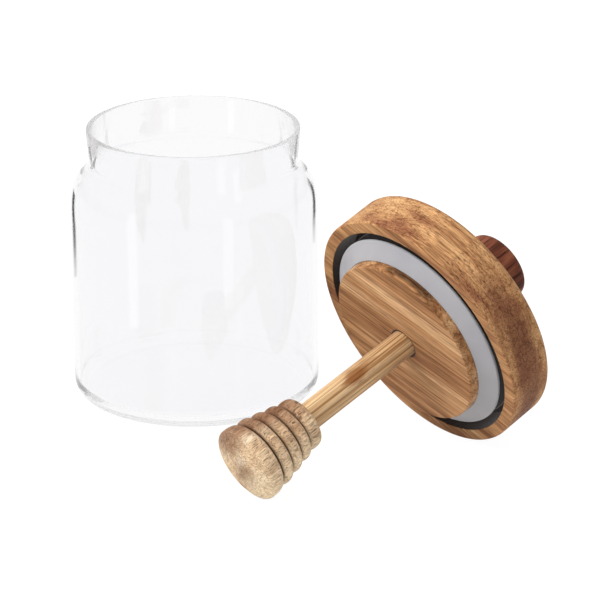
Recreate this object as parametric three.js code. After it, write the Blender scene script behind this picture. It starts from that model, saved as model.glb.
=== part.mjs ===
// A honey pot with its lid off: a clear glass jar stands upright, and beside it the turned wooden lid
// leans on its rim and on the head of the dipper that is fixed in it.
// Millimetres, +Z up. The origin is the middle of the jar's underside.
import * as THREE from 'three';

// The jar: outside radii, and heights above the surface that it stands on.
const JAR_RADIUS = 50;
const JAR_HEIGHT = 111.8;
const JAR_WALL = 2;
const JAR_FLOOR = 3;
const JAR_HEEL = 6;
const JAR_INNER_CORNER = 5;
const SHOULDER_START = 76;
const SHOULDER_FULLNESS = 9;
const SHOULDER_CORNER = { radius: 46.4, height: 91.6 };
const SHOULDER_SLOPE = { radius: 2.5, height: 2.6 };
const SHOULDER_DROP = 0.8;
const WAIST = { radius: 42, height: 98.5 };
const WAIST_HOLLOW = 3.9;
const RIM_RADIUS = 43;
const JAR_SIDES = 64;

// The lid, its seal, plug and knob. Places along the lid's axis are measured from the face of its skirt,
// and grow towards the dipper's head.
const LID_RADIUS = 51;
const LID_THICKNESS = 20.7;
const LID_BACK_EDGE = 2.8;
const LID_FRONT_EDGE = 0.8;
const SKIRT_INNER_RADIUS = 45.8;
const SKIRT_INNER_EDGE = 0.5;
const GROOVE_FLOOR = -12;
const BOSS_RADIUS = 33;
const BOSS_FACE = -2;
const LID_SIDES = 64;

const SEAL_LIP_RADIUS = 42.5;
const SEAL_CORE_RADIUS = 37;
const SEAL_TOP = 3.3;
const SEAL_FRONT_LIP = -0.1;
const SEAL_REAR_LIP = -6.2;
const SEAL_LIP_THICKNESS = 1.5;
const SEAL_LIP_ROUND = 0.3;
const SEAL_LIP_TAPER = 0.8;

const PLUG_RADIUS = 35.3;
const PLUG_FACE = 7.6;
const PLUG_EDGE = 0.5;

const KNOB_RADIUS = 14.3;
const KNOB_TOP = -48.2;
const KNOB_EDGE = 2.6;
const KNOB_FOOT_EDGE = 0.6;
const KNOB_OFF_CENTRE = 0.9;
const KNOB_SIDES = 40;

// The dipper: a bamboo shaft, and a head with five rings that grow towards its domed tip.
const SHAFT_RADIUS = 5.55;
const SHAFT_SIDES = 24;
const SHAFT_HOLE_PLAY = 0.55;
const SOCKET_DEPTH = 12;
const HEAD_START = 61;
const RING_PITCH = 5.87;
const RING_COUNT = 5;
const FIRST_GROOVE = 67;
const GROOVE_HALF_WIDTH = 0.35;
const GROOVE_DEPTH = 2.6;
const SMALLEST_RING = 10.8;
const RING_GROWTH = 1.29;
const FIRST_RING_RISE = 1.6;
const BIG_RING_RADIUS = 15.6;
const BIG_RING_EDGE = 90.1;
const BIG_RING_SHOULDER = { inset: 0.5, rise: 0.2, length: 1.6 };
const DOME_EDGE_REACH = 1.2;
const DOME_CORNER = { radius: 13.4, along: 92.3 };
const DOME_SLOPE = { radius: 3, along: 1.25 };
const HEAD_TIP = 94.5;
const RING_FULLNESS = 0.75;
const HEAD_SIDES = 36;

// How the lid lies: its skirt's centre in plan, and the heading of its axis, where 0 is along +X.
const LID_PLACE = { x: 87.85, y: -65 };
const LID_HEADING = -139.3;
const DIPPER_HEADING = -141;
const DIPPER_PIVOT = 3;

// Pieces that touch keep this much air between them.
const GAP = 0.3;
const ARC_STEPS = 4;
const SHOULDER_STEPS = 5;
const TIP_STEPS = 4;
const RING_STEPS = 6;
const DIP_HALVINGS = 50;

const FINISHES = {
  glass: { color: 0xeef1f2, roughness: 0.03, metalness: 0, transparent: true, opacity: 0.35 },
  acacia: { color: 0xb27a47, roughness: 0.6, metalness: 0 },
  paleAcacia: { color: 0xc39a6a, roughness: 0.6, metalness: 0 },
  bamboo: { color: 0xd9b070, roughness: 0.55, metalness: 0 },
  darkWood: { color: 0x5a3226, roughness: 0.5, metalness: 0 },
  silicone: { color: 0xc9ccd2, roughness: 0.45, metalness: 0 },
};

function point(radius, along) {
  return new THREE.Vector2(radius, along);
}

// The points of a round corner, from one angle to another, in degrees.
function corner(centreRadius, centreAlong, size, fromAngle, toAngle) {
  const points = [];
  for (let step = 0; step <= ARC_STEPS; step += 1) {
    const angle = THREE.MathUtils.degToRad(fromAngle + ((toAngle - fromAngle) * step) / ARC_STEPS);
    points.push(point(centreRadius + size * Math.cos(angle), centreAlong + size * Math.sin(angle)));
  }
  return points;
}

// The points along curves that meet end to end.
function joined(curves, steps) {
  const points = curves.flatMap((curve) => curve.getPoints(steps).slice(1));
  return [curves[0].getPoint(0), ...points];
}

// The outside of the jar's shoulder: a full curve to its corner, then a hollow one into the waist.
function shoulderOutline() {
  const { radius, height } = SHOULDER_CORNER;
  const full = new THREE.CubicBezierCurve(
    point(JAR_RADIUS, SHOULDER_START),
    point(JAR_RADIUS, SHOULDER_START + SHOULDER_FULLNESS),
    point(radius + SHOULDER_SLOPE.radius, height - SHOULDER_SLOPE.height),
    point(radius, height),
  );
  const hollow = new THREE.CubicBezierCurve(
    point(radius, height),
    point(radius - SHOULDER_SLOPE.radius, height + SHOULDER_SLOPE.height),
    point(WAIST.radius, WAIST.height - WAIST_HOLLOW),
    point(WAIST.radius, WAIST.height),
  );
  return joined([full, hollow], SHOULDER_STEPS);
}

function jarOutline() {
  const lip = JAR_WALL / 2;
  const shoulder = shoulderOutline();
  const inside = shoulder.map((p) => point(p.x - JAR_WALL, p.y - SHOULDER_DROP)).reverse();
  const cornerRadius = JAR_RADIUS - JAR_WALL - JAR_INNER_CORNER;
  const innerCorner = corner(cornerRadius, JAR_FLOOR + JAR_INNER_CORNER, JAR_INNER_CORNER, 0, -90);
  return [
    point(0, 0),
    ...corner(JAR_RADIUS - JAR_HEEL, JAR_HEEL, JAR_HEEL, -90, 0),
    ...shoulder,
    ...corner(RIM_RADIUS - lip, JAR_HEIGHT - lip, lip, 0, 180),
    ...inside,
    ...innerCorner,
    point(0, JAR_FLOOR),
  ];
}

function lidOutline() {
  const back = -LID_THICKNESS;
  return [
    point(0, back),
    ...corner(LID_RADIUS - LID_BACK_EDGE, back + LID_BACK_EDGE, LID_BACK_EDGE, -90, 0),
    ...corner(LID_RADIUS - LID_FRONT_EDGE, -LID_FRONT_EDGE, LID_FRONT_EDGE, 0, 90),
    point(SKIRT_INNER_RADIUS + SKIRT_INNER_EDGE, 0),
    point(SKIRT_INNER_RADIUS, -SKIRT_INNER_EDGE),
    point(SKIRT_INNER_RADIUS, GROOVE_FLOOR),
    point(BOSS_RADIUS, GROOVE_FLOOR),
    point(BOSS_RADIUS, BOSS_FACE),
    point(0, BOSS_FACE),
  ];
}

// The edge of one of the seal's lips, from its root at the back to its outer corner at the front.
function sealLip(front) {
  return [
    point(SEAL_CORE_RADIUS, front - SEAL_LIP_THICKNESS),
    point(SEAL_LIP_RADIUS - SEAL_LIP_ROUND, front - SEAL_LIP_THICKNESS),
    point(SEAL_LIP_RADIUS, front - SEAL_LIP_THICKNESS / 2),
    point(SEAL_LIP_RADIUS - SEAL_LIP_ROUND, front),
  ];
}

// The seal is a sleeve round the boss, with a wide lip that covers it from the front and one behind.
function sealOutline() {
  const sleeve = BOSS_RADIUS + GAP;
  const mouth = PLUG_RADIUS + GAP;
  const bottom = GROOVE_FLOOR + GAP;
  const outline = [
    point(sleeve, bottom),
    point(SEAL_CORE_RADIUS, bottom),
    ...sealLip(SEAL_REAR_LIP),
    point(SEAL_CORE_RADIUS, SEAL_REAR_LIP + SEAL_LIP_TAPER),
    ...sealLip(SEAL_FRONT_LIP),
    point(mouth, SEAL_TOP),
    point(mouth, BOSS_FACE),
    point(sleeve, BOSS_FACE),
  ];
  outline.push(outline[0].clone());
  return outline;
}

// The plug is a disc with a hole right through for the shaft, so its outline closes on itself.
function plugOutline() {
  const hole = SHAFT_RADIUS + SHAFT_HOLE_PLAY;
  const back = BOSS_FACE + GAP;
  return [
    point(hole, back),
    point(PLUG_RADIUS, back),
    point(PLUG_RADIUS, PLUG_FACE - PLUG_EDGE),
    point(PLUG_RADIUS - PLUG_EDGE, PLUG_FACE),
    point(hole, PLUG_FACE),
    point(hole, back),
  ];
}

function knobOutline() {
  const foot = -LID_THICKNESS - GAP;
  return [
    point(0, KNOB_TOP),
    ...corner(KNOB_RADIUS - KNOB_EDGE, KNOB_TOP + KNOB_EDGE, KNOB_EDGE, -90, 0),
    point(KNOB_RADIUS, foot - KNOB_FOOT_EDGE),
    point(KNOB_RADIUS - KNOB_FOOT_EDGE, foot),
    point(0, foot),
  ];
}

function shaftOutline() {
  const start = BOSS_FACE + 2 * GAP;
  const end = HEAD_START + SOCKET_DEPTH - GAP;
  return [point(0, start), point(SHAFT_RADIUS, start), point(SHAFT_RADIUS, end), point(0, end)];
}

// One ring of the head between two grooves: steep sides and a full, nearly flat top.
function ringOutline(start, end, radius, floorRadius) {
  const points = [];
  const middle = (start + end) / 2;
  const half = (end - start) / 2;
  for (let step = 0; step <= RING_STEPS; step += 1) {
    const angle = (Math.PI * step) / RING_STEPS;
    const rise = Math.sin(angle) ** RING_FULLNESS;
    points.push(point(floorRadius + (radius - floorRadius) * rise, middle - half * Math.cos(angle)));
  }
  return points;
}

// The big ring at the tip, which turns a round corner into a shallow dome.
function tipOutline(start, floorRadius) {
  const side = new THREE.CubicBezierCurve(
    point(floorRadius, start),
    point(BIG_RING_RADIUS - BIG_RING_SHOULDER.inset, start + BIG_RING_SHOULDER.rise),
    point(BIG_RING_RADIUS, start + BIG_RING_SHOULDER.length),
    point(BIG_RING_RADIUS, BIG_RING_EDGE),
  );
  const edge = new THREE.CubicBezierCurve(
    point(BIG_RING_RADIUS, BIG_RING_EDGE),
    point(BIG_RING_RADIUS, BIG_RING_EDGE + DOME_EDGE_REACH),
    point(DOME_CORNER.radius + DOME_EDGE_REACH, DOME_CORNER.along - DOME_EDGE_REACH / 2),
    point(DOME_CORNER.radius, DOME_CORNER.along),
  );
  const dome = new THREE.CubicBezierCurve(
    point(DOME_CORNER.radius, DOME_CORNER.along),
    point(DOME_CORNER.radius - DOME_SLOPE.radius, DOME_CORNER.along + DOME_SLOPE.along),
    point(DOME_CORNER.radius / 2, HEAD_TIP),
    point(0, HEAD_TIP),
  );
  return joined([side, edge, dome], TIP_STEPS);
}

function headOutline() {
  const socket = SHAFT_RADIUS + GAP;
  const outline = [
    point(0, HEAD_START + SOCKET_DEPTH),
    point(socket, HEAD_START + SOCKET_DEPTH),
    point(socket, HEAD_START),
  ];
  let start = HEAD_START;
  for (let ring = 0; ring < RING_COUNT - 1; ring += 1) {
    const groove = FIRST_GROOVE + RING_PITCH * ring;
    const radius = SMALLEST_RING + RING_GROWTH * ring;
    const first = ring === 0 ? SMALLEST_RING - FIRST_RING_RISE : radius - GROOVE_DEPTH;
    outline.push(...ringOutline(start, groove - GROOVE_HALF_WIDTH, radius, first));
    start = groove + GROOVE_HALF_WIDTH;
  }
  const lastFloor = SMALLEST_RING + RING_GROWTH * (RING_COUNT - 1) - GROOVE_DEPTH;
  outline.push(...tipOutline(start, lastFloor));
  return outline;
}

// How far an outline reaches below its axis, when the axis dips by an angle in radians.
function reachBelow(outline, dip) {
  const reaches = outline.map((p) => p.x * Math.cos(dip) + p.y * Math.sin(dip));
  return Math.max(...reaches);
}

// The dip at which the lid's skirt and the dipper's head touch the surface together.
function restingDip(lid, head) {
  let low = 0;
  let high = Math.PI / 4;
  for (let halving = 0; halving < DIP_HALVINGS; halving += 1) {
    const middle = (low + high) / 2;
    if (reachBelow(lid, middle) > reachBelow(head, middle)) {
      low = middle;
    } else {
      high = middle;
    }
  }
  return low;
}

// A solid turned on a lathe, with its axis along +X and a vertex on its lowest line.
function turned(name, outline, sides, finish) {
  const geometry = new THREE.LatheGeometry(outline, sides);
  geometry.rotateZ(-Math.PI / 2);
  const mesh = new THREE.Mesh(geometry, new THREE.MeshStandardMaterial(finish));
  mesh.name = name;
  return mesh;
}

// A group whose +X axis heads one way in plan and dips by an angle.
function dippedGroup(heading, dip) {
  const group = new THREE.Group();
  group.rotation.order = 'ZYX';
  group.rotation.set(0, dip, THREE.MathUtils.degToRad(heading));
  return group;
}

function makeJar() {
  const geometry = new THREE.LatheGeometry(jarOutline(), JAR_SIDES);
  geometry.rotateX(Math.PI / 2);
  const jar = new THREE.Mesh(geometry, new THREE.MeshStandardMaterial(FINISHES.glass));
  jar.name = 'jar';
  return jar;
}

function makeLid(dip, height) {
  const group = dippedGroup(LID_HEADING, dip);
  group.position.set(LID_PLACE.x, LID_PLACE.y, height);
  const knob = turned('knob', knobOutline(), KNOB_SIDES, FINISHES.darkWood);
  knob.position.z = KNOB_OFF_CENTRE;
  group.add(
    turned('lid', lidOutline(), LID_SIDES, FINISHES.acacia),
    turned('seal', sealOutline(), LID_SIDES, FINISHES.silicone),
    turned('plug', plugOutline(), LID_SIDES, FINISHES.acacia),
    knob,
  );
  return group;
}

// The dipper turns a little about a point in the plug, so that its shaft stands slightly off square.
function makeDipper(dip, lidGroup) {
  const group = dippedGroup(DIPPER_HEADING, dip);
  lidGroup.updateMatrix();
  const pivot = new THREE.Vector3(DIPPER_PIVOT, 0, 0).applyMatrix4(lidGroup.matrix);
  const back = new THREE.Vector3(-DIPPER_PIVOT, 0, 0).applyEuler(group.rotation);
  group.position.copy(pivot.add(back));
  group.add(
    turned('dipper_shaft', shaftOutline(), SHAFT_SIDES, FINISHES.bamboo),
    turned('dipper_head', headOutline(), HEAD_SIDES, FINISHES.paleAcacia),
  );
  return group;
}

function makeHoneyPot() {
  const dip = restingDip(lidOutline(), headOutline());
  const lid = makeLid(dip, reachBelow(lidOutline(), dip));
  const pot = new THREE.Group();
  pot.add(makeJar(), lid, makeDipper(dip, lid));
  return pot;
}

export default makeHoneyPot();
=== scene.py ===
"""Looks of the honey pot: a clear glass jar, and its wooden lid with a seal, a knob and a dipper.

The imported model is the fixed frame. Each turned piece is made again here with a smooth outline, in the same
place, and gets its own finish. Metres, +Z up. The origin is the middle of the jar's underside.
"""

from __future__ import annotations

import logging
import math
from dataclasses import dataclass
from enum import Enum
from functools import cache
from typing import Optional, Union

import bpy
from mathutils import Matrix, Vector
from mathutils.geometry import interpolate_bezier


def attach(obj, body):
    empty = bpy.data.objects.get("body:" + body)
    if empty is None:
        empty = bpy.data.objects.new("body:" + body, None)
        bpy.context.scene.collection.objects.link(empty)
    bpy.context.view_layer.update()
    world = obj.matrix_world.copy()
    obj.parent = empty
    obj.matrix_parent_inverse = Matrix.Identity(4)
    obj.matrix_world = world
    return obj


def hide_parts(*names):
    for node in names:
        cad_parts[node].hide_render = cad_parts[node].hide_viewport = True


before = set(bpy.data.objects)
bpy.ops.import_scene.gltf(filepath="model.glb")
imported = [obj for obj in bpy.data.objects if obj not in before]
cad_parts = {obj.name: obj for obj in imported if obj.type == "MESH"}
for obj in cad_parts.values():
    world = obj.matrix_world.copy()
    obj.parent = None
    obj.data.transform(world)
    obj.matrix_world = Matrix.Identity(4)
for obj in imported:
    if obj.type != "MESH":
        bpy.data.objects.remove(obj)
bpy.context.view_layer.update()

ROOT = "root"
MILLIMETRE = 0.001

ARC_STEPS = 10
CURVE_STEPS = 14
RING_STEPS = 18
SAME_POINT = 1e-6
WELD_DISTANCE = 2e-6
SHARP_ANGLE = math.radians(38)
DIP_HALVINGS = 50

LOG = logging.getLogger("honey_pot")

Pair = tuple[float, float]
Triple = tuple[float, float, float]
Colour = tuple[float, float, float, float]
Feed = Union[float, Triple, Colour, bpy.types.NodeSocket]

WHITE: Colour = (1.0, 1.0, 1.0, 1.0)
BLACK: Colour = (0.0, 0.0, 0.0, 1.0)

SRGB_STEPS = 255
SRGB_KNEE = 0.04045
SRGB_SLOPE = 12.92
SRGB_LIFT = 0.055
SRGB_POWER = 2.4

NOISE_LOW = 0.3
NOISE_HIGH = 0.7
NOISE_MIDDLE = 0.5


class Slot(Enum):
    """The record's material slots."""

    GLASS = "clear_glass"
    ACACIA = "acacia"
    PALE_ACACIA = "pale_acacia"
    DARK_WOOD = "dark_wood"
    BAMBOO = "bamboo"
    SILICONE = "silicone"


def srgb(code: str) -> Colour:
    """Turns a screen colour into a linear one.

    Args:
        code: Six hexadecimal digits.

    Returns:
        The linear colour, with full cover.
    """
    parts = [int(code[i:i + 2], 16) / SRGB_STEPS for i in (0, 2, 4)]
    lifted = [((p + SRGB_LIFT) / (1 + SRGB_LIFT)) ** SRGB_POWER for p in parts]
    linear = [p / SRGB_SLOPE if p <= SRGB_KNEE else high for p, high in zip(parts, lifted)]
    return (linear[0], linear[1], linear[2], 1.0)


class Outline:
    """Half a section through a turned piece: points of radius and place along the axis."""

    def __init__(self, radius: float, along: float) -> None:
        """Starts the outline at one point."""
        self.points: list[Pair] = [(radius, along)]

    def to(self, radius: float, along: float) -> "Outline":
        """Adds a straight stretch, unless it would have no length."""
        last = self.points[-1]
        if math.hypot(radius - last[0], along - last[1]) > SAME_POINT:
            self.points.append((radius, along))
        return self

    def arc(self, centre: Pair, size: float, start: float, end: float) -> "Outline":
        """Adds a round corner.

        Args:
            centre: The middle of the corner's circle.
            size: The circle's radius.
            start: The first angle in degrees, where 0 points outwards.
            end: The last angle in degrees.

        Returns:
            The same outline.
        """
        for step in range(ARC_STEPS + 1):
            angle = math.radians(start + (end - start) * step / ARC_STEPS)
            self.to(centre[0] + size * math.cos(angle), centre[1] + size * math.sin(angle))
        return self

    def curve(self, handle: Pair, last_handle: Pair, end: Pair) -> "Outline":
        """Adds a cubic curve.

        Args:
            handle: The point that the curve leaves towards.
            last_handle: The point that it arrives from.
            end: Where it ends.

        Returns:
            The same outline.
        """
        knots = [Vector((*p, 0.0)) for p in (self.points[-1], handle, last_handle, end)]
        for p in interpolate_bezier(*knots, CURVE_STEPS)[1:]:
            self.to(p.x, p.y)
        return self

    def reach_below(self, dip: float) -> float:
        """How far the turned piece reaches below its axis.

        Args:
            dip: How far the axis dips, in radians.

        Returns:
            The distance in metres.
        """
        return max(r * math.cos(dip) + s * math.sin(dip) for r, s in self.points)


def deselect() -> None:
    """Leaves edit mode and deselects every object."""
    if bpy.context.object and bpy.context.object.mode != "OBJECT":
        bpy.ops.object.mode_set(mode="OBJECT")
    bpy.ops.object.select_all(action="DESELECT")


def turn(name: str, outline: Outline, sides: int, place: Matrix) -> bpy.types.Object:
    """Turns an outline round its axis, as on a lathe.

    One corner of a small plane is drawn out along the outline and spun round the axis, and the seam and the
    poles are then welded.

    Args:
        name: The piece's name.
        outline: Its half section, with the axis along +Z.
        sides: Steps in a full turn.
        place: Where the piece goes. It ends up in the mesh.

    Returns:
        The finished object, at the origin.
    """
    deselect()
    bpy.ops.mesh.primitive_plane_add(size=MILLIMETRE)
    piece = bpy.context.object
    piece.name = piece.data.name = name
    bpy.ops.object.mode_set(mode="EDIT")
    bpy.ops.mesh.select_all(action="SELECT")
    bpy.ops.mesh.merge(type="CENTER")
    radius, along = outline.points[0]
    bpy.ops.transform.translate(value=(radius, 0, along))
    for r, s in outline.points[1:]:
        step = (r - radius, 0, s - along)
        bpy.ops.mesh.extrude_vertices_move(TRANSFORM_OT_translate={"value": step})
        radius, along = r, s
    bpy.ops.mesh.select_all(action="SELECT")
    bpy.ops.mesh.spin(steps=sides, angle=math.tau, center=(0, 0, 0), axis=(0, 0, 1))
    bpy.ops.mesh.select_all(action="SELECT")
    bpy.ops.mesh.remove_doubles(threshold=WELD_DISTANCE)
    bpy.ops.mesh.normals_make_consistent(inside=False)
    bpy.ops.object.mode_set(mode="OBJECT")
    piece.matrix_world = place
    bpy.ops.object.transform_apply(location=True, rotation=True, scale=True)
    bpy.ops.object.shade_smooth_by_angle(angle=SHARP_ANGLE)
    LOG.info("%s: %d faces", name, len(piece.data.polygons))
    return piece


def hand_over(piece: bpy.types.Object, node: str, slot: Slot, material: bpy.types.Material) -> None:
    """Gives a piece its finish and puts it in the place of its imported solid.

    Only the studio is mirrored in the jar, which keeps the glass as clean as it is in the photograph.

    Args:
        piece: The finished piece.
        node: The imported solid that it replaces.
        slot: Its material slot.
        material: Its finish.
    """
    piece.data.materials.clear()
    piece.data.materials.append(material)
    piece.visible_glossy = slot is Slot.GLASS
    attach(piece, ROOT)
    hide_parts(node)


class Graph:
    """Short ways to add and join the nodes of one tree."""

    def __init__(self, tree: bpy.types.NodeTree) -> None:
        """Keeps the tree."""
        self.tree = tree

    def feed(self, socket: bpy.types.NodeSocket, value: Feed) -> None:
        """Links a socket into another, or sets its own value."""
        if isinstance(value, bpy.types.NodeSocket):
            self.tree.links.new(value, socket)
        else:
            socket.default_value = value

    def node(self, kind: str, feeds: dict[Union[str, int], Feed], **settings: object) -> bpy.types.Node:
        """Adds a node.

        Args:
            kind: The node's type.
            feeds: What goes into its sockets, by name or number.
            settings: The node's own settings.

        Returns:
            The new node.
        """
        made = self.tree.nodes.new(kind)
        for key, value in settings.items():
            setattr(made, key, value)
        for key, value in feeds.items():
            self.feed(made.inputs[key], value)
        return made

    def math(self, operation: str, first: Feed, second: Feed = 0.0) -> bpy.types.NodeSocket:
        """Adds a sum of one or two numbers and returns its result."""
        return self.node("ShaderNodeMath", {0: first, 1: second}, operation=operation).outputs[0]

    def vector(self, operation: str, first: Feed, second: Feed = (0.0, 0.0, 0.0)) -> bpy.types.NodeSocket:
        """Adds a sum of two vectors and returns the vector that comes out."""
        return self.node("ShaderNodeVectorMath", {0: first, 1: second}, operation=operation).outputs[0]

    def length(self, value: Feed) -> bpy.types.NodeSocket:
        """Returns the length of a vector."""
        return self.node("ShaderNodeVectorMath", {0: value}, operation="LENGTH").outputs["Value"]

    def noise(self, vector: Feed, scale: float, detail: float, rough: float = 0.5) -> bpy.types.Node:
        """Adds a noise texture."""
        feeds = {"Vector": vector, "Scale": scale, "Detail": detail, "Roughness": rough}
        return self.node("ShaderNodeTexNoise", feeds)

    def remap(self, value: Feed, low: Feed, high: Feed, to_low: Feed = 0.0, to_high: Feed = 1.0,
              smooth: bool = False) -> bpy.types.NodeSocket:
        """Stretches one range of a number to another and returns the result."""
        feeds = {0: value, 1: low, 2: high, 3: to_low, 4: to_high}
        kind = "SMOOTHSTEP" if smooth else "LINEAR"
        return self.node("ShaderNodeMapRange", feeds, interpolation_type=kind).outputs[0]

    def mix(self, factor: Feed, first: Feed, second: Feed, blend: str = "MIX") -> bpy.types.NodeSocket:
        """Mixes two colours and returns the result."""
        feeds = {0: factor, 6: first, 7: second}
        made = self.node("ShaderNodeMix", feeds, data_type="RGBA", blend_type=blend)
        return made.outputs[2]

    def relief(self, shader: bpy.types.Node, height: Feed, distance: float, strength: float) -> None:
        """Raises and sinks a shader's surface a little by a height from 0 to 1.

        Args:
            shader: The Principled shader.
            height: The height's socket.
            distance: What a height of 1 measures, in metres.
            strength: How much of the relief shows.
        """
        bump = self.node("ShaderNodeBump", {"Height": height, "Distance": distance, "Strength": strength})
        self.feed(shader.inputs["Normal"], bump.outputs[0])

    def group(self, tree: bpy.types.NodeTree, feeds: dict[Union[str, int], Feed]) -> bpy.types.Node:
        """Places a node group with values of its own."""
        made = self.tree.nodes.new("ShaderNodeGroup")
        made.node_tree = tree
        for key, value in feeds.items():
            self.feed(made.inputs[key], value)
        return made


def new_group(name: str, inputs: dict[str, str], outputs: dict[str, str]) -> tuple[Graph, dict, dict]:
    """Starts a shader node group.

    Args:
        name: The group's name.
        inputs: Socket type by name.
        outputs: Socket type by name.

    Returns:
        The graph inside the group, its inputs' sockets and its outputs' sockets.
    """
    tree = bpy.data.node_groups.new(name, "ShaderNodeTree")
    for direction, sockets in (("INPUT", inputs), ("OUTPUT", outputs)):
        for label, kind in sockets.items():
            tree.interface.new_socket(name=label, in_out=direction, socket_type=kind)
    graph = Graph(tree)
    entry = graph.node("NodeGroupInput", {})
    leave = graph.node("NodeGroupOutput", {})
    given = {label: entry.outputs[label] for label in inputs}
    wanted = {label: leave.inputs[label] for label in outputs}
    return graph, given, wanted


NUMBER = "NodeSocketFloat"
VECTOR = "NodeSocketVector"


@dataclass(frozen=True)
class GrainNoise:
    """How the wood grain's noises are made: squeezes along and across, scales, details and roughness."""

    drift_squeeze: Triple = (0.3, 1.0, 1.0)
    drift_scale: float = 0.045
    drift_detail: float = 2.0
    band_detail: float = 3.0
    band_rough: float = 0.55
    line_squeeze: Triple = (0.7, 2.1, 2.1)
    line_detail: float = 2.0
    line_width: float = 0.05
    fibre_detail: float = 4.0
    fibre_rough: float = 0.65
    pore_detail: float = 1.0
    pore_edge: float = 0.1
    patch_squeeze: Triple = (0.12, 0.6, 0.6)
    patch_detail: float = 3.0
    patch_rough: float = 0.6


GRAIN = GrainNoise()


@cache
def grain_group() -> bpy.types.NodeTree:
    """Wood grain in a space where +X runs along the grain, in millimetres.

    Returns:
        A group that gives broad bands, thin growth lines, fibres and pores, each from 0 to 1.
    """
    inputs = {"Vector": VECTOR, "Bands": VECTOR, "Fibres": VECTOR, "Pores": VECTOR,
              "Waviness": NUMBER, "Pore Cover": NUMBER}
    outputs = {"Bands": NUMBER, "Lines": NUMBER, "Fibres": NUMBER, "Pores": NUMBER}
    graph, given, wanted = new_group("wood_grain", inputs, outputs)
    slow = graph.vector("MULTIPLY", given["Vector"], GRAIN.drift_squeeze)
    drift = graph.noise(slow, GRAIN.drift_scale, GRAIN.drift_detail)
    swing = graph.vector("SUBTRACT", drift.outputs[1], (NOISE_MIDDLE, NOISE_MIDDLE, NOISE_MIDDLE))
    pull = graph.node("ShaderNodeCombineXYZ", {0: 0.0, 1: given["Waviness"], 2: given["Waviness"]})
    bent = graph.vector("ADD", given["Vector"], graph.vector("MULTIPLY", swing, pull.outputs[0]))
    broad = graph.vector("MULTIPLY", bent, given["Bands"])
    bands = graph.noise(broad, 1.0, GRAIN.band_detail, GRAIN.band_rough).outputs[0]
    graph.feed(wanted["Bands"], graph.remap(bands, NOISE_LOW, NOISE_HIGH))
    finer = graph.vector("MULTIPLY", broad, GRAIN.line_squeeze)
    line = graph.noise(finer, 1.0, GRAIN.line_detail).outputs[0]
    edge = graph.math("ABSOLUTE", graph.math("SUBTRACT", line, NOISE_MIDDLE))
    graph.feed(wanted["Lines"], graph.remap(edge, 0.0, GRAIN.line_width, 1.0, 0.0, True))
    threads = graph.vector("MULTIPLY", bent, given["Fibres"])
    thread = graph.noise(threads, 1.0, GRAIN.fibre_detail, GRAIN.fibre_rough).outputs[0]
    graph.feed(wanted["Fibres"], graph.remap(thread, NOISE_LOW, NOISE_HIGH))
    spread = graph.vector("MULTIPLY", bent, given["Pores"])
    holes = graph.noise(spread, 1.0, GRAIN.pore_detail).outputs[0]
    full = graph.math("ADD", given["Pore Cover"], GRAIN.pore_edge)
    graph.feed(wanted["Pores"], graph.remap(holes, given["Pore Cover"], full, 0.0, 1.0, True))
    return graph.tree


@cache
def patch_group() -> bpy.types.NodeTree:
    """A soft, ragged spot in the same space as the grain.

    Returns:
        A group that gives a mask, 1 inside the spot and 0 outside.
    """
    inputs = {"Vector": VECTOR, "Centre": VECTOR, "Reach": VECTOR, "Softness": NUMBER, "Raggedness": NUMBER}
    graph, given, wanted = new_group("soft_patch", inputs, {"Mask": NUMBER})
    away = graph.vector("DIVIDE", graph.vector("SUBTRACT", given["Vector"], given["Centre"]), given["Reach"])
    squeezed = graph.vector("MULTIPLY", given["Vector"], GRAIN.patch_squeeze)
    torn = graph.noise(squeezed, 1.0, GRAIN.patch_detail, GRAIN.patch_rough)
    swing = graph.math("SUBTRACT", torn.outputs[0], NOISE_MIDDLE)
    push = graph.math("MULTIPLY", swing, given["Raggedness"])
    distance = graph.math("ADD", graph.length(away), push)
    inner = graph.math("SUBTRACT", 1.0, given["Softness"])
    outer = graph.math("ADD", 1.0, given["Softness"])
    graph.feed(wanted["Mask"], graph.remap(distance, inner, outer, 1.0, 0.0, True))
    return graph.tree


def start_material(name: str) -> tuple[bpy.types.Material, Graph, bpy.types.Node]:
    """Starts a material.

    Args:
        name: The material's name.

    Returns:
        The material, its graph and its Principled shader.
    """
    material = bpy.data.materials.new(name)
    material.use_nodes = True
    graph = Graph(material.node_tree)
    return material, graph, material.node_tree.nodes["Principled BSDF"]


def space(graph: Graph, place: Matrix) -> bpy.types.NodeSocket:
    """Object coordinates turned into a piece's own space.

    Args:
        graph: The material's graph.
        place: The piece's place and axes.

    Returns:
        A vector in millimetres from the place's origin, along its axes.
    """
    where = graph.node("ShaderNodeTexCoord", {}).outputs["Object"]
    feeds = {
        "Vector": where,
        "Location": place.translation,
        "Rotation": place.to_euler("XYZ"),
        "Scale": (MILLIMETRE, MILLIMETRE, MILLIMETRE),
    }
    return graph.node("ShaderNodeMapping", feeds, vector_type="TEXTURE").outputs[0]


@dataclass(frozen=True)
class Patch:
    """A soft spot drawn in another colour on the wood. Some stand for painted shade, others for the wood's
    own marks. Places and reaches are in millimetres.
    """

    colour: str
    centre: Triple
    reach: Triple
    strength: float = 1.0
    softness: float = 0.35
    raggedness: float = 0.6


FAR = 1000.0


@dataclass(frozen=True)
class PaintedRecessShade:
    """Painted shade in turned grooves and holes: what lies deeper than a cone about an axis of the grain's
    space.

    Millimetres. The two axes across the cone's axis are 1 in `across`. The cone's radius grows along +X, and
    the dark part ends at `until` along +X and at `above` along +Z.
    """

    colour: str
    across: Triple
    radius: float
    softness: float
    growth: float = 0.0
    until: float = FAR
    above: float = -FAR


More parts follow.
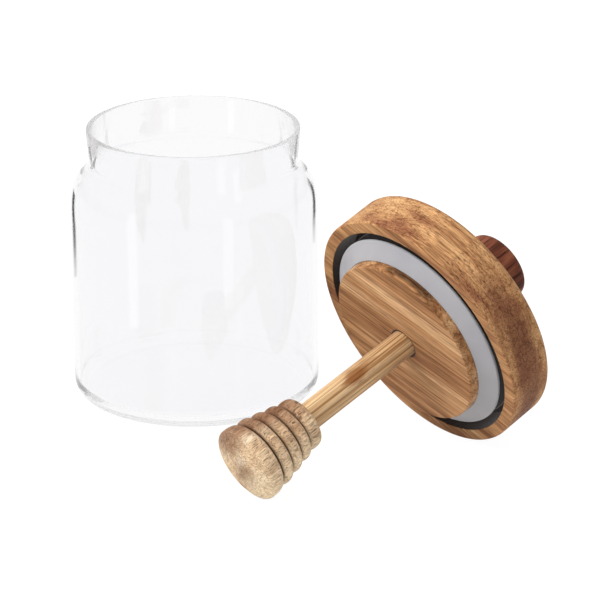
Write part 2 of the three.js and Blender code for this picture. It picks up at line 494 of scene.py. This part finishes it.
@dataclass(frozen=True)
class Wood:
    """A wood finish: its colours, and how its grain, fibres and pores are drawn out."""

    name: str
    light: str
    middle: str
    dark: str
    line: str
    pore: str
    bands: Triple
    fibres: Triple
    pores: Triple
    waviness: float
    pore_cover: float
    line_strength: float
    pore_strength: float
    fibre_contrast: float
    roughness: Pair = (0.5, 0.66)
    relief: float = 0.00016
    relief_strength: float = 0.7
    line_depth: float = 0.5
    fibre_height: float = 0.4
    shine: float = 0.08
    patches: tuple[Patch, ...] = ()
    recess_shade: Optional[PaintedRecessShade] = None

    def material(self, place: Matrix) -> bpy.types.Material:
        """Makes the material.

        Args:
            place: The grain's space, with +X along the grain.

        Returns:
            The new material.
        """
        material, graph, shader = start_material(self.name)
        vector = space(graph, place)
        feeds = {"Vector": vector, "Bands": self.bands, "Fibres": self.fibres, "Pores": self.pores,
                 "Waviness": self.waviness, "Pore Cover": self.pore_cover}
        grain = graph.group(grain_group(), feeds).outputs
        colour = self.base(graph, grain["Bands"])
        for patch in self.patches:
            spot = graph.group(patch_group(), {
                "Vector": vector, "Centre": patch.centre, "Reach": patch.reach,
                "Softness": patch.softness, "Raggedness": patch.raggedness})
            cover = graph.math("MULTIPLY", spot.outputs["Mask"], patch.strength)
            colour = graph.mix(cover, colour, srgb(patch.colour))
        lines = graph.math("MULTIPLY", grain["Lines"], self.line_strength)
        colour = graph.mix(lines, colour, srgb(self.line), "MULTIPLY")
        pores = graph.math("MULTIPLY", grain["Pores"], self.pore_strength)
        colour = graph.mix(pores, colour, srgb(self.pore), "MULTIPLY")
        # Painted shade: grooves and holes are drawn darker, standing for the shade that falls inside them.
        if self.recess_shade:
            colour = self.paint_recess_shade(graph, vector, colour)
        low, high = 1 - self.fibre_contrast, 1 + self.fibre_contrast
        bright = graph.remap(grain["Fibres"], 0.0, 1.0, low, high)
        tint = graph.node("ShaderNodeCombineXYZ", {0: bright, 1: bright, 2: bright}).outputs[0]
        graph.feed(shader.inputs["Base Color"], graph.mix(1.0, colour, tint, "MULTIPLY"))
        rough = graph.remap(grain["Fibres"], 0.0, 1.0, self.roughness[1], self.roughness[0])
        graph.feed(shader.inputs["Roughness"], rough)
        shader.inputs["Specular IOR Level"].default_value = self.shine
        dents = graph.math("ADD", pores, graph.math("MULTIPLY", lines, self.line_depth))
        threads = graph.math("MULTIPLY", grain["Fibres"], self.fibre_height)
        height = graph.math("SUBTRACT", threads, dents)
        graph.relief(shader, height, self.relief, self.relief_strength)
        return material

    def paint_recess_shade(self, graph: Graph, vector: Feed, colour: bpy.types.NodeSocket) -> bpy.types.NodeSocket:
        """Draws painted shade in the grooves and holes.

        Args:
            graph: The material's graph.
            vector: The grain's space.
            colour: The wood's colour so far.

        Returns:
            The colour with painted shade in the grooves and holes.
        """
        recess_shade = self.recess_shade
        flat = graph.length(graph.vector("MULTIPLY", vector, recess_shade.across))
        split = graph.node("ShaderNodeSeparateXYZ", {0: vector}).outputs
        along = split["X"]
        cone = graph.math("ADD", graph.math("MULTIPLY", along, recess_shade.growth), recess_shade.radius)
        depth = graph.math("SUBTRACT", cone, flat)
        inside = graph.remap(depth, 0.0, recess_shade.softness, 0.0, 1.0, True)
        before = graph.math("LESS_THAN", along, recess_shade.until)
        higher = graph.math("GREATER_THAN", split["Z"], recess_shade.above)
        cover = graph.math("MULTIPLY", inside, graph.math("MULTIPLY", before, higher))
        return graph.mix(cover, colour, srgb(recess_shade.colour))

    def base(self, graph: Graph, bands: bpy.types.NodeSocket) -> bpy.types.NodeSocket:
        """Lays the three ground colours along the bands.

        Args:
            graph: The material's graph.
            bands: The grain's broad bands, from 0 to 1.

        Returns:
            The ground colour.
        """
        ramp = graph.node("ShaderNodeValToRGB", {0: bands})
        ramp.color_ramp.elements[0].color = srgb(self.dark)
        ramp.color_ramp.elements[1].color = srgb(self.light)
        ramp.color_ramp.elements.new(NOISE_MIDDLE).color = srgb(self.middle)
        return ramp.outputs[0]


@dataclass(frozen=True)
class Glass:
    """Clear colourless glass with a faint waviness."""

    name: str = "jar_clear_glass"
    bend: float = 1.5
    roughness: float = 0.0
    wave_scale: float = 28.0
    wave_detail: float = 2.0
    wave_height: float = 0.00004
    wave_strength: float = 0.15
    clear: str = "fcfcfd"
    tinted: str = "fafafb"
    absorption: float = 0.7

    def material(self) -> bpy.types.Material:
        """Makes the material."""
        material, graph, shader = start_material(self.name)
        where = graph.node("ShaderNodeTexCoord", {}).outputs["Object"]
        wave = graph.noise(where, self.wave_scale, self.wave_detail).outputs[0]
        colour = graph.mix(wave, srgb(self.clear), srgb(self.tinted))
        graph.feed(shader.inputs["Base Color"], colour)
        shader.inputs["Roughness"].default_value = self.roughness
        shader.inputs["IOR"].default_value = self.bend
        shader.inputs["Transmission Weight"].default_value = 1.0
        feeds = {"Color": BLACK, "Density": self.absorption}
        inside = graph.node("ShaderNodeVolumeAbsorption", feeds)
        graph.feed(graph.tree.nodes["Material Output"].inputs["Volume"], inside.outputs[0])
        graph.relief(shader, wave, self.wave_height, self.wave_strength)
        return material


@dataclass(frozen=True)
class Silicone:
    """Milky silicone with faint clouds and a fine skin. Its rear lip, deep in the groove, gets painted shade,
    which starts at a place in millimetres.
    """

    name: str = "seal_silicone"
    pale: str = "abaaad"
    cloudy: str = "a09fa3"
    roughness: Pair = (0.36, 0.48)
    shine: float = 0.08
    painted_shade_colour: str = "1a110c"
    shade_start: float = -1.7
    cloud_scale: float = 45.0
    cloud_detail: float = 3.0
    skin_scale: float = 1600.0
    skin_detail: float = 2.0
    skin_height: float = 0.00002
    skin_strength: float = 0.4
    milkiness: float = 0.1
    milk_depth: Triple = (0.002, 0.002, 0.002)

    def material(self, place: Matrix) -> bpy.types.Material:
        """Makes the material, with painted shade where the ring lies deep in the groove.

        Args:
            place: The lid's place, with its axis along +X.

        Returns:
            The new material.
        """
        material, graph, shader = start_material(self.name)
        where = graph.node("ShaderNodeTexCoord", {}).outputs["Object"]
        cloud = graph.noise(where, self.cloud_scale, self.cloud_detail).outputs[0]
        skin = graph.noise(where, self.skin_scale, self.skin_detail).outputs[0]
        shade = graph.remap(cloud, NOISE_LOW, NOISE_HIGH)
        milky = graph.mix(shade, srgb(self.pale), srgb(self.cloudy))
        along = graph.node("ShaderNodeSeparateXYZ", {0: space(graph, place)}).outputs["X"]
        # Painted shade: past shade_start along the axis, the rear lip is drawn near-black for the shade deep
        # in the groove.
        deep = graph.math("LESS_THAN", along, self.shade_start)
        graph.feed(shader.inputs["Base Color"], graph.mix(deep, milky, srgb(self.painted_shade_colour)))
        graph.feed(shader.inputs["Roughness"], graph.remap(cloud, NOISE_LOW, NOISE_HIGH, *self.roughness))
        graph.relief(shader, skin, self.skin_height, self.skin_strength)
        shader.inputs["Specular IOR Level"].default_value = self.shine
        shader.inputs["Subsurface Weight"].default_value = self.milkiness
        shader.inputs["Subsurface Radius"].default_value = self.milk_depth
        return material


LID_WOOD = Wood(
    name="lid_acacia",
    light="d6a978", middle="bb8b5e", dark="8e5c40", line="85593d", pore="5f3a25",
    bands=(0.012, 0.12, 0.2), fibres=(0.05, 2.2, 2.2), pores=(0.10, 2.9, 2.9),
    waviness=3.0, pore_cover=0.56, line_strength=0.5, pore_strength=0.55, fibre_contrast=0.42,
    patches=(
        # Painted shade: the rim's right side, away from the light, is drawn darker.
        Patch(
            "7a4c36", centre=(42.0, 12.0, -9.5), reach=(34.0, 44.0, 5.5),
            strength=0.8,
        ),
        # Painted shade: the bottom of the rim, where it stands on the floor, is drawn darker.
        Patch(
            "74462f", centre=(36.0, -36.0, -9.0), reach=(32.0, 26.0, 8.0),
            strength=0.7,
        ),
    ),
    # Painted shade: the groove that takes the jar's rim is drawn near-black.
    recess_shade=PaintedRecessShade("1c0e07", across=(1.0, 1.0, 0.0), radius=46.1, softness=0.3, above=-13.0),
)
PLUG_WOOD = Wood(
    name="plug_acacia",
    light="d2a87c", middle="b38358", dark="885a3a", line="704529", pore="5e3922",
    bands=(0.009, 0.17, 0.17), fibres=(0.04, 2.0, 2.0), pores=(0.08, 2.5, 2.5),
    waviness=1.8, pore_cover=0.57, line_strength=0.5, pore_strength=0.5, fibre_contrast=0.4,
    patches=(
        Patch(
            "3a2418", centre=(6.0, 34.5, 3.5), reach=(24.0, 1.6, 3.0),
            strength=0.8, softness=0.5, raggedness=1.2,
        ),
    ),
    # Painted shade: the shaft's hole and its edge are drawn dark.
    recess_shade=PaintedRecessShade("3a2013", across=(1.0, 1.0, 0.0), radius=6.5, softness=0.2),
)
KNOB_WOOD = Wood(
    name="knob_dark_wood",
    light="a5684a", middle="6b3b2a", dark="2c1510", line="35190f", pore="35190f",
    bands=(0.02, 0.14, 0.14), fibres=(0.06, 1.3, 1.3), pores=(0.12, 2.0, 2.0),
    waviness=6.0, pore_cover=0.58, line_strength=0.6, pore_strength=0.5, fibre_contrast=0.35,
)
SHAFT_WOOD = Wood(
    name="shaft_bamboo",
    light="f6dcb2", middle="e2be90", dark="b88c5e", line="8a603c", pore="7b5331",
    bands=(0.006, 0.7, 0.7), fibres=(0.012, 2.8, 2.8), pores=(0.02, 3.2, 3.2),
    waviness=0.4, pore_cover=0.54, line_strength=0.5, pore_strength=0.6, fibre_contrast=0.34,
    patches=(
        Patch(
            "8a5227", centre=(33.0, 2.5, 4.0), reach=(7.0, 3.0, 3.0),
            strength=0.9, softness=0.6, raggedness=2.2,
        ),
        Patch(
            "a5784a", centre=(12.0, 0.0, 0.0), reach=(20.0, 9.0, 9.0),
            strength=0.6, softness=0.6, raggedness=0.6,
        ),
    ),
)
HEAD_WOOD = Wood(
    name="head_pale_acacia",
    light="fae6c8", middle="e6c9a4", dark="bd9774", line="8f6a4a", pore="4f3524",
    bands=(0.02, 0.13, 0.13), fibres=(0.10, 2.2, 2.2), pores=(0.22, 3.3, 3.3),
    waviness=0.8, pore_cover=0.55, line_strength=0.25, pore_strength=0.8, fibre_contrast=0.3,
    patches=(
        Patch(
            "7b5138", centre=(76.0, -7.0, 14.0), reach=(30.0, 13.0, 11.0),
            strength=0.85, softness=0.5, raggedness=0.6,
        ),
        Patch(
            "7c5439", centre=(93.0, 3.0, -2.0), reach=(6.0, 5.0, 7.0),
            strength=0.7, softness=0.6, raggedness=0.8,
        ),
        Patch(
            "f8e2be", centre=(80.0, 9.0, -12.0), reach=(30.0, 10.0, 12.0),
            strength=0.8, softness=0.5, raggedness=0.4,
        ),
    ),
    # Painted shade: the gaps between the head's rings are drawn dark, darker towards the bottom of each gap.
    recess_shade=PaintedRecessShade(
        "4a2f1f", across=(0.0, 1.0, 1.0), radius=-4.3, softness=1.5, growth=0.2198, until=90.0,
    ),
)


@dataclass
class Jar:
    """The glass jar: outside radii, and heights above its underside."""

    radius: float = 0.050
    height: float = 0.1118
    wall: float = 0.002
    floor: float = 0.003
    heel: float = 0.006
    inner_corner: float = 0.005
    shoulder_start: float = 0.076
    shoulder_fullness: float = 0.009
    shoulder_corner: Pair = (0.0464, 0.0916)
    shoulder_slope: Pair = (0.0025, 0.0026)
    shoulder_drop: float = 0.0008
    waist: Pair = (0.042, 0.0985)
    waist_hollow: float = 0.0039
    rim_radius: float = 0.043
    sides: int = 288
    glass: Glass = Glass()

    def shoulder(self, outline: Outline, inset: float, drop: float) -> Outline:
        """Adds the shoulder's side, from the straight body up to the waist.

        Args:
            outline: The outline, which stands at the shoulder's start.
            inset: How far the side is moved in.
            drop: How far it is moved down.

        Returns:
            The same outline.
        """
        def at(radius: float, height: float) -> Pair:
            return (radius - inset, height - drop)

        (corner_r, corner_h), (slope_r, slope_h) = self.shoulder_corner, self.shoulder_slope
        outline.curve(
            at(self.radius, self.shoulder_start + self.shoulder_fullness),
            at(corner_r + slope_r, corner_h - slope_h),
            at(corner_r, corner_h),
        )
        return outline.curve(
            at(corner_r - slope_r, corner_h + slope_h),
            at(self.waist[0], self.waist[1] - self.waist_hollow),
            at(*self.waist),
        )

    def outline(self) -> Outline:
        """The whole section of the wall, from the underside round to the inside of the floor."""
        lip = self.wall / 2
        outline = Outline(0, 0)
        outline.arc((self.radius - self.heel, self.heel), self.heel, -90, 0)
        outline.to(self.radius, self.shoulder_start)
        self.shoulder(outline, 0, 0)
        outline.arc((self.rim_radius - lip, self.height - lip), lip, 0, 180)
        inside = Outline(self.radius - self.wall, self.shoulder_start - self.shoulder_drop)
        self.shoulder(inside, self.wall, self.shoulder_drop)
        for r, s in reversed(inside.points):
            outline.to(r, s)
        corner = self.inner_corner
        outline.arc((self.radius - self.wall - corner, self.floor + corner), corner, 0, -90)
        return outline.to(0, self.floor)

    def build(self) -> None:
        """Makes and dresses the jar."""
        piece = turn("jar_glass", self.outline(), self.sides, Matrix.Identity(4))
        hand_over(piece, "jar", Slot.GLASS, self.glass.material())


LATHE_TO_X = Matrix.Rotation(math.radians(90), 4, "Y")


def lying(heading: float, dip: float) -> Matrix:
    """Axes whose +X heads one way in plan, in degrees, and dips by an angle in radians."""
    return Matrix.Rotation(math.radians(heading), 4, "Z") @ Matrix.Rotation(dip, 4, "Y")


def grain_in_disc(place: Matrix, angle: float) -> Matrix:
    """The grain's space in a disc cut from a plank.

    Args:
        place: The disc's place, with its axis along +X.
        angle: The grain's angle in the disc's face, in degrees up from its +Y.

    Returns:
        A place whose +X runs along the grain and whose +Z is the disc's axis.
    """
    to_grain = Matrix(((0, 0, 1, 0), (1, 0, 0, 0), (0, 1, 0, 0), (0, 0, 0, 1)))
    return place @ Matrix.Rotation(math.radians(angle), 4, "X") @ to_grain


@dataclass
class Lid:
    """The lid with its seal, plug and knob.

    Places along the axis are measured from the face of the skirt, and grow towards the dipper's head.
    """

    radius: float = 0.051
    thickness: float = 0.0207
    back_edge: float = 0.0028
    front_edge: float = 0.0008
    skirt_inner_radius: float = 0.0458
    skirt_inner_edge: float = 0.0005
    groove_floor: float = -0.012
    boss_radius: float = 0.033
    boss_face: float = -0.002
    seal_lip_radius: float = 0.0425
    seal_core_radius: float = 0.037
    seal_top: float = 0.0033
    seal_front_lip: float = -0.0001
    seal_rear_lip: float = -0.0062
    seal_lip_thickness: float = 0.0015
    seal_lip_taper: float = 0.0008
    plug_radius: float = 0.0353
    plug_face: float = 0.0076
    plug_edge: float = 0.0005
    hole_radius: float = 0.0061
    knob_radius: float = 0.0143
    knob_top: float = -0.0482
    knob_edge: float = 0.0026
    knob_foot_edge: float = 0.0006
    knob_off_centre: float = 0.0009
    gap: float = 0.0003
    spot: Pair = (0.08785, -0.065)
    heading: float = -139.3
    lid_grain: float = -28.0
    plug_grain: float = -21.0
    sides: int = 256

    def outline(self) -> Outline:
        """The lid's section: back, rounded edges, skirt, groove and boss."""
        back, edge = -self.thickness, self.back_edge
        outline = Outline(0, back)
        outline.arc((self.radius - edge, back + edge), edge, -90, 0)
        outline.arc((self.radius - self.front_edge, -self.front_edge), self.front_edge, 0, 90)
        inner = self.skirt_inner_edge
        outline.arc((self.skirt_inner_radius + inner, -inner), inner, 90, 180)
        outline.to(self.skirt_inner_radius, self.groove_floor)
        outline.to(self.boss_radius, self.groove_floor)
        outline.to(self.boss_radius, self.boss_face)
        return outline.to(0, self.boss_face)

    def seal_lip(self, outline: Outline, front: float) -> Outline:
        """Adds one of the seal's lips, with a round edge."""
        thick = self.seal_lip_thickness
        outline.to(self.seal_core_radius, front - thick)
        return outline.arc((self.seal_lip_radius - thick / 2, front - thick / 2), thick / 2, -90, 90)

    def seal_outline(self) -> Outline:
        """The seal's section: a sleeve round the boss and two lips."""
        sleeve, mouth = self.boss_radius + self.gap, self.plug_radius + self.gap
        bottom = self.groove_floor + self.gap
        outline = Outline(sleeve, bottom).to(self.seal_core_radius, bottom)
        self.seal_lip(outline, self.seal_rear_lip)
        outline.to(self.seal_core_radius, self.seal_rear_lip + self.seal_lip_taper)
        self.seal_lip(outline, self.seal_front_lip)
        outline.to(mouth, self.seal_top)
        outline.to(mouth, self.boss_face)
        outline.to(sleeve, self.boss_face)
        return outline.to(sleeve, bottom)

    def plug_outline(self) -> Outline:
        """The plug's section: a disc with a hole for the shaft."""
        edge, back = self.plug_edge, self.boss_face + self.gap
        outline = Outline(self.hole_radius, back).to(self.plug_radius, back)
        outline.arc((self.plug_radius - edge, self.plug_face - edge), edge, 0, 90)
        outline.to(self.hole_radius, self.plug_face)
        return outline.to(self.hole_radius, back)

    def knob_outline(self) -> Outline:
        """The knob's section: a rounded end, a straight side and a softened foot."""
        edge, foot, soft = self.knob_edge, -self.thickness - self.gap, self.knob_foot_edge
        outline = Outline(0, self.knob_top)
        outline.arc((self.knob_radius - edge, self.knob_top + edge), edge, -90, 0)
        outline.arc((self.knob_radius - soft, foot - soft), soft, 0, 90)
        return outline.to(0, foot)

    def place(self, dip: float) -> Matrix:
        """Where the lid lies, with its axis along +X."""
        height = self.outline().reach_below(dip)
        return Matrix.Translation((*self.spot, height)) @ lying(self.heading, dip)

    def build(self, dip: float) -> None:
        """Makes and dresses the lid, seal, plug and knob.

        Args:
            dip: How far the lid's axis dips, in radians.
        """
        place = self.place(dip)
        turned = place @ LATHE_TO_X
        lid = turn("lid_wood", self.outline(), self.sides, turned)
        hand_over(lid, "lid", Slot.ACACIA, LID_WOOD.material(grain_in_disc(place, self.lid_grain)))
        seal = turn("seal_ring", self.seal_outline(), self.sides, turned)
        hand_over(seal, "seal", Slot.SILICONE, Silicone().material(place))
        plug = turn("plug_wood", self.plug_outline(), self.sides, turned)
        hand_over(plug, "plug", Slot.ACACIA, PLUG_WOOD.material(grain_in_disc(place, self.plug_grain)))
        raised = place @ Matrix.Translation((0, 0, self.knob_off_centre))
        knob = turn("knob_wood", self.knob_outline(), self.sides, raised @ LATHE_TO_X)
        hand_over(knob, "knob", Slot.DARK_WOOD, KNOB_WOOD.material(raised))


@dataclass
class Dipper:
    """The dipper: a bamboo shaft and a head with rings that grow towards its domed tip."""

    shaft_radius: float = 0.00555
    shaft_start: float = -0.0014
    head_start: float = 0.061
    socket_depth: float = 0.012
    gap: float = 0.0003
    ring_pitch: float = 0.00587
    ring_count: int = 5
    first_groove: float = 0.067
    groove_half_width: float = 0.00035
    groove_depth: float = 0.0026
    smallest_ring: float = 0.0108
    ring_growth: float = 0.00129
    first_ring_rise: float = 0.0016
    ring_fullness: float = 0.75
    big_ring_radius: float = 0.0156
    big_ring_edge: float = 0.0901
    big_ring_shoulder: Triple = (0.0005, 0.0002, 0.0016)
    dome_edge_reach: float = 0.0012
    dome_corner: Pair = (0.0134, 0.0923)
    dome_slope: Pair = (0.003, 0.00125)
    head_tip: float = 0.0945
    heading: float = -141.0
    pivot: float = 0.003
    shaft_sides: int = 96
    head_sides: int = 192

    def shaft_outline(self) -> Outline:
        """The shaft's section, from the boss to the bottom of the head's socket."""
        end = self.head_start + self.socket_depth - self.gap
        outline = Outline(0, self.shaft_start).to(self.shaft_radius, self.shaft_start)
        return outline.to(self.shaft_radius, end).to(0, end)

    def ring(self, outline: Outline, start: float, end: float, radius: float, floor: float) -> None:
        """Adds one ring between two grooves, with steep sides and a full top.

        Args:
            outline: The outline to add to.
            start: Where the ring starts along the axis.
            end: Where it ends.
            radius: Its largest radius.
            floor: The grooves' radius.
        """
        middle, half = (start + end) / 2, (end - start) / 2
        for step in range(RING_STEPS + 1):
            angle = math.pi * step / RING_STEPS
            rise = math.sin(angle) ** self.ring_fullness if 0 < step < RING_STEPS else 0.0
            outline.to(floor + (radius - floor) * rise, middle - half * math.cos(angle))

    def head_outline(self) -> Outline:
        """The head's section: the socket, the rings and the dome."""
        socket, deep = self.shaft_radius + self.gap, self.head_start + self.socket_depth
        outline = Outline(0, deep).to(socket, deep).to(socket, self.head_start)
        start = self.head_start
        for ring in range(self.ring_count - 1):
            groove = self.first_groove + self.ring_pitch * ring
            radius = self.smallest_ring + self.ring_growth * ring
            depth = self.first_ring_rise if ring == 0 else self.groove_depth
            self.ring(outline, start, groove - self.groove_half_width, radius, radius - depth)
            start = groove + self.groove_half_width
        floor = self.smallest_ring + self.ring_growth * (self.ring_count - 1) - self.groove_depth
        inset, rise, length = self.big_ring_shoulder
        big, edge, reach = self.big_ring_radius, self.big_ring_edge, self.dome_edge_reach
        corner_r, corner_s = self.dome_corner
        outline.to(floor, start)
        outline.curve((big - inset, start + rise), (big, start + length), (big, edge))
        outline.curve((big, edge + reach), (corner_r + reach, corner_s - reach / 2), self.dome_corner)
        slope_r, slope_s = self.dome_slope
        return outline.curve(
            (corner_r - slope_r, corner_s + slope_s), (corner_r / 2, self.head_tip), (0, self.head_tip))

    def place(self, dip: float, lid: Matrix) -> Matrix:
        """Where the dipper lies, turned a little about a point in the plug.

        Args:
            dip: How far the axis dips, in radians.
            lid: The lid's place.

        Returns:
            The dipper's place, with its axis along +X.
        """
        axes = lying(self.heading, dip)
        pivot = lid @ Vector((self.pivot, 0, 0))
        return Matrix.Translation(pivot + axes @ Vector((-self.pivot, 0, 0))) @ axes

    def build(self, dip: float, lid: Matrix) -> None:
        """Makes and dresses the shaft and the head.

        Args:
            dip: How far the axis dips, in radians.
            lid: The lid's place.
        """
        place = self.place(dip, lid)
        turned = place @ LATHE_TO_X
        shaft = turn("dipper_shaft_bamboo", self.shaft_outline(), self.shaft_sides, turned)
        hand_over(shaft, "dipper_shaft", Slot.BAMBOO, SHAFT_WOOD.material(place))
        head = turn("dipper_head_wood", self.head_outline(), self.head_sides, turned)
        hand_over(head, "dipper_head", Slot.PALE_ACACIA, HEAD_WOOD.material(place))


def resting_dip(lid: Outline, head: Outline) -> float:
    """The dip at which the lid's skirt and the dipper's head touch the floor together.

    Args:
        lid: The lid's outline.
        head: The head's outline.

    Returns:
        The angle in radians.
    """
    low, high = 0.0, math.pi / 4
    for _ in range(DIP_HALVINGS):
        middle = (low + high) / 2
        if lid.reach_below(middle) > head.reach_below(middle):
            low = middle
        else:
            high = middle
    return low


@dataclass(frozen=True)
class Card:
    """A studio card that shows only in the glass: dark ones draw lines along its edges, bright ones panels.

    Its glow changes from its foot upwards, over a part of its height, and then stays.
    """

    name: str
    centre: Pair
    facing: float
    width: float
    bottom: float
    top: float
    foot_glow: float
    top_glow: float
    fade: float = 1.0


@dataclass
class Studio:
    """The floor, the light and the camera."""

    floor_size: float = 9.0
    floor_drop: float = 0.0002
    floor_colour: str = "ececec"
    floor_cloud_colour: str = "efefef"
    floor_cloud_scale: float = 1.5
    floor_cloud_detail: float = 2.0
    floor_cuts: int = 4
    floor_roughness: float = 0.9
    floor_in_view: str = "6e6e6e"
    floor_seen: float = 0.95
    floor_through: float = 1.0
    bounces: int = 256
    lens: float = 196.97
    sensor: float = 36.0
    distance: float = 1.339178
    target: Triple = (0.04249, 0.0, 0.0371835)
    pitch: float = 0.3513
    roll: float = -0.0044
    clip: Pair = (0.01, 50.0)
    zenith: float = 0.8
    horizon: float = 0.22
    left_lift: float = 0.3
    zenith_height: float = 0.9
    left_side: Pair = (-0.9, 0.2)
    mirrored_zenith: float = 1.0
    mirrored_horizon: float = 0.86
    mirrored_zenith_height: float = 0.5
    key_place: Triple = (-0.45, -0.25, 0.75)
    key_size: float = 0.45
    key_power: float = 7.0
    cards: tuple[Card, ...] = (
        Card("left_dark_card", centre=(-0.115, 0.115), facing=-24.0, width=0.024, bottom=0.0, top=0.062,
             foot_glow=0.7, top_glow=0.02, fade=0.35),
        Card("right_dark_card", centre=(0.116, 0.115), facing=24.0, width=0.024, bottom=0.016, top=0.085,
             foot_glow=0.8, top_glow=0.02, fade=0.3),
        Card("left_panel", centre=(-0.110, -0.097), facing=58.0, width=0.022, bottom=0.0, top=0.14,
             foot_glow=1.5, top_glow=1.5),
        Card("right_panel", centre=(0.086, -0.157), facing=-33.0, width=0.026, bottom=0.0, top=0.14,
             foot_glow=1.4, top_glow=1.4),
    )

    def floor(self) -> None:
        """Makes the pale floor.

        It glows for the camera and for rays that leave the glass, as a light table does. Shadows on it stay
        faint.
        """
        deselect()
        bpy.ops.mesh.primitive_plane_add(size=self.floor_size, location=(0, 0, -self.floor_drop))
        floor = bpy.context.object
        floor.name = "studio_floor"
        bpy.ops.object.mode_set(mode="EDIT")
        bpy.ops.mesh.subdivide(number_cuts=self.floor_cuts)
        bpy.ops.object.mode_set(mode="OBJECT")
        material, graph, shader = start_material("studio_floor")
        where = graph.node("ShaderNodeTexCoord", {}).outputs["Object"]
        cloud = graph.noise(where, self.floor_cloud_scale, self.floor_cloud_detail).outputs[0]
        pale = graph.mix(cloud, srgb(self.floor_colour), srgb(self.floor_cloud_colour))
        path = graph.node("ShaderNodeLightPath", {}).outputs
        bent = graph.math("MAXIMUM", path["Is Transmission Ray"], path["Is Glossy Ray"])
        faint = graph.mix(path["Is Camera Ray"], pale, srgb(self.floor_in_view))
        graph.feed(shader.inputs["Base Color"], graph.mix(bent, faint, BLACK))
        seen = graph.math("MULTIPLY", path["Is Camera Ray"], self.floor_seen)
        through = graph.math("MULTIPLY", bent, self.floor_through)
        graph.feed(shader.inputs["Emission Strength"], graph.math("ADD", seen, through))
        shader.inputs["Emission Color"].default_value = WHITE
        shader.inputs["Roughness"].default_value = self.floor_roughness
        shader.inputs["Specular IOR Level"].default_value = 0.0
        floor.data.materials.append(material)

    def card(self, card: Card) -> None:
        """Stands one card on or above the floor, out of the camera's sight.

        Args:
            card: The card's place, size and glow.
        """
        deselect()
        bpy.ops.mesh.primitive_plane_add(size=1.0)
        piece = bpy.context.object
        piece.name = card.name
        height = card.top - card.bottom
        upright = Matrix.Rotation(math.radians(90), 4, "X")
        turned = Matrix.Rotation(math.radians(-card.facing), 4, "Z")
        middle = Matrix.Translation((*card.centre, (card.top + card.bottom) / 2))
        piece.matrix_world = middle @ turned @ Matrix.Diagonal((card.width, 1.0, height, 1.0)) @ upright
        material, graph, shader = start_material(card.name)
        where = graph.node("ShaderNodeTexCoord", {}).outputs["Object"]
        up = graph.node("ShaderNodeSeparateXYZ", {0: where}).outputs["Y"]
        glow = graph.remap(up, -0.5, card.fade - 0.5, card.foot_glow, card.top_glow, True)
        graph.feed(shader.inputs["Emission Strength"], glow)
        shader.inputs["Emission Color"].default_value = WHITE
        shader.inputs["Base Color"].default_value = BLACK
        shader.inputs["Specular IOR Level"].default_value = 0.0
        piece.data.materials.append(material)
        piece.visible_camera = False
        piece.visible_diffuse = False
        piece.visible_shadow = False

    def light(self) -> None:
        """Lights the scene from a soft white room, brighter above, and one large lamp at the upper left."""
        world = bpy.data.worlds.new("studio")
        world.use_nodes = True
        bpy.context.scene.world = world
        graph = Graph(world.node_tree)
        where = graph.node("ShaderNodeTexCoord", {}).outputs["Generated"]
        split = graph.node("ShaderNodeSeparateXYZ", {0: where}).outputs
        height = graph.remap(split["Z"], 0.0, self.zenith_height, self.horizon, self.zenith, True)
        left = graph.remap(split["X"], *self.left_side, self.left_lift, 0.0, True)
        room = graph.math("ADD", height, left)
        mirrored = graph.remap(
            split["Z"], 0.0, self.mirrored_zenith_height, self.mirrored_horizon, self.mirrored_zenith, True)
        diffuse = graph.node("ShaderNodeLightPath", {}).outputs["Is Diffuse Ray"]
        strength = graph.remap(diffuse, 0.0, 1.0, mirrored, room)
        graph.feed(world.node_tree.nodes["Background"].inputs["Strength"], strength)
        world.node_tree.nodes["Background"].inputs["Color"].default_value = WHITE
        deselect()
        bpy.ops.object.light_add(type="AREA", location=self.key_place)
        lamp = bpy.context.object
        lamp.name = "key_lamp"
        lamp.data.size = self.key_size
        lamp.data.energy = self.key_power
        lamp.visible_glossy = False
        lamp.visible_transmission = False
        aim = Vector(self.target) - Vector(self.key_place)
        lamp.rotation_euler = aim.to_track_quat("-Z", "Y").to_euler()

    def camera(self) -> None:
        """Stands the camera where the photograph was taken from."""
        ahead = Vector((0, math.cos(self.pitch), -math.sin(self.pitch)))
        deselect()
        bpy.ops.object.camera_add(location=Vector(self.target) - ahead * self.distance)
        camera = bpy.context.object
        turned = Matrix.Rotation(math.pi / 2 - self.pitch, 4, "X") @ Matrix.Rotation(self.roll, 4, "Z")
        camera.rotation_euler = turned.to_euler()
        camera.data.lens = self.lens
        camera.data.sensor_width = self.sensor
        camera.data.sensor_fit = "HORIZONTAL"
        camera.data.clip_start, camera.data.clip_end = self.clip
        bpy.context.scene.camera = camera

    def build(self) -> None:
        """Sets the colour handling and builds the whole studio."""
        view = bpy.context.scene.view_settings
        view.view_transform = "Standard"
        view.look = "None"
        light_paths = bpy.context.scene.cycles
        light_paths.max_bounces = self.bounces
        light_paths.glossy_bounces = self.bounces
        light_paths.transmission_bounces = self.bounces
        self.floor()
        for card in self.cards:
            self.card(card)
        self.light()
        self.camera()


def main() -> None:
    """Builds the studio, the jar, the lid and the dipper."""
    logging.basicConfig(level=logging.INFO, format="%(name)s %(message)s")
    Studio().build()
    Jar().build()
    lid, dipper = Lid(), Dipper()
    dip = resting_dip(lid.outline(), dipper.head_outline())
    LOG.info("the lid's axis dips %.2f degrees", math.degrees(dip))
    lid.build(dip)
    dipper.build(dip, lid.place(dip))


if __name__ == "__main__":
    main()
